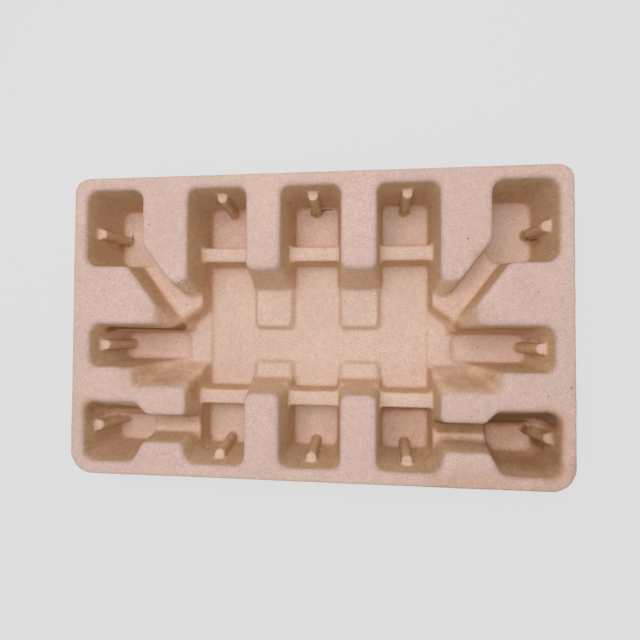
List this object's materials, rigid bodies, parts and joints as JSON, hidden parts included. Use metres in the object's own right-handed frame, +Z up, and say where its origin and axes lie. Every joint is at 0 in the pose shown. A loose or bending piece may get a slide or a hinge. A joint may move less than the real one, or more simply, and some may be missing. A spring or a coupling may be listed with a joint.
{
  "type": "moulded pulp tray",
  "caption": "Moulded pulp shipping insert: a flat rim round a stepped middle recess, with ribbed cells along every edge and diagonal channels to the upper corners.",
  "frame": {"origin": "middle of the footprint on the underside, at the level of the feet", "axes": "+X along the length, +Z up out of the cells, +Y towards the row of cells from which the diagonal channels start"},
  "size_m": [0.4, 0.246, 0.0585],
  "materials": {
    "pulp": "dry matt moulded paper pulp, rough grain with fine dark specks"
  },
  "bodies": {
    "root": {"pulp_tray": "pulp"}
  },
  "joints": []
}
